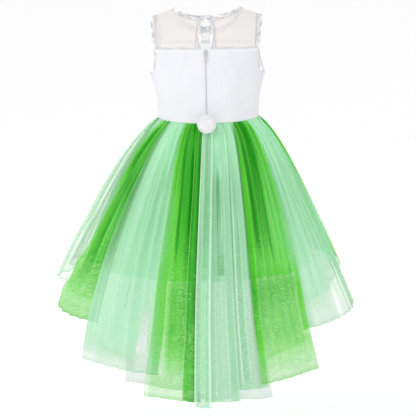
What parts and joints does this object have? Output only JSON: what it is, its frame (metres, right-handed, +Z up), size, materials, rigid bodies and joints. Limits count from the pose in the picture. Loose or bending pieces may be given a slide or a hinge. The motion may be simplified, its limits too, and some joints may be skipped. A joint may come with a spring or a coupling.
{
  "type": "sleeveless tulle dress",
  "caption": "Girl's sleeveless dress, worn shape with no wearer: sheer yoke with keyhole, white bodice, gathered high-low tulle skirt in green and mint, pompom at the back waist.",
  "frame": {"origin": "midway between the side neck points of the shoulders, level with them, where the wearer's shoulders carry the dress", "axes": "+Z up, the front of the dress faces -Y and its back +Y, the wearer's left is +X"},
  "size_m": [0.6195, 0.5309, 0.7437],
  "materials": {
    "satin_binding": "satin bias binding, soft gloss",
    "white_satin_knit": "soft satin knit, slight sheen",
    "mint_lining": "light satin, soft sheen",
    "pearl_button": "pearly gloss",
    "loop_thread": "twisted thread",
    "white_plush": "dense fluffy yarn",
    "green_tulle": "soft net, matt",
    "mint_tulle": "soft net, matt",
    "pale_tulle": "soft net, matt",
    "sheer_mesh": "sheer power mesh, matt",
    "painted_zip_metal": "white enamel, semi gloss",
    "zip_tape": "woven tape, matt"
  },
  "bodies": {
    "dress": {"armhole_binding_left": "satin_binding", "armhole_binding_right": "satin_binding", "bodice_back_left": "white_satin_knit", "bodice_back_right": "white_satin_knit", "bodice_front": "white_satin_knit", "keyhole_binding_left": "satin_binding", "keyhole_binding_right": "satin_binding", "lining_back": "mint_lining", "lining_front": "mint_lining", "neck_binding": "satin_binding", "neck_button": "pearl_button", "neck_button_loop": "loop_thread", "pompom": "white_plush", "tulle_back_centre_green": "green_tulle", "tulle_back_centre_mint": "mint_tulle", "tulle_back_centre_mint_long": "mint_tulle", "tulle_back_centre_mint_right": "mint_tulle", "tulle_back_left_green": "green_tulle", "tulle_back_left_mint": "mint_tulle", "tulle_back_right_green": "green_tulle", "tulle_front_centre_green": "green_tulle", "tulle_front_left_green": "green_tulle", "tulle_front_left_mint": "mint_tulle", "tulle_front_right_green": "green_tulle", "tulle_front_right_mint": "mint_tulle", "tulle_left_side_mint": "mint_tulle", "tulle_right_side_mint": "mint_tulle", "under_tulle_back_centre": "pale_tulle", "under_tulle_back_centre_left": "pale_tulle", "under_tulle_back_left": "pale_tulle", "under_tulle_back_left_long": "pale_tulle", "under_tulle_back_right": "pale_tulle", "under_tulle_front_left": "pale_tulle", "under_tulle_front_right": "pale_tulle", "under_tulle_left_side": "pale_tulle", "under_tulle_right_side": "pale_tulle", "yoke_back_left": "sheer_mesh", "yoke_back_right": "sheer_mesh", "yoke_front": "sheer_mesh", "zip_slider": "painted_zip_metal", "zip_tape": "zip_tape"},
    "zip_pull": {"zip_pull": "painted_zip_metal"}
  },
  "joints": [
    {"name": "zip_pull_hinge", "type": "hinge", "parent": "dress", "child": "zip_pull", "pos_m": [0, 0.08005, -0.0825], "axis": [1, 0, 0], "range_deg": [0, 150]}
  ]
}
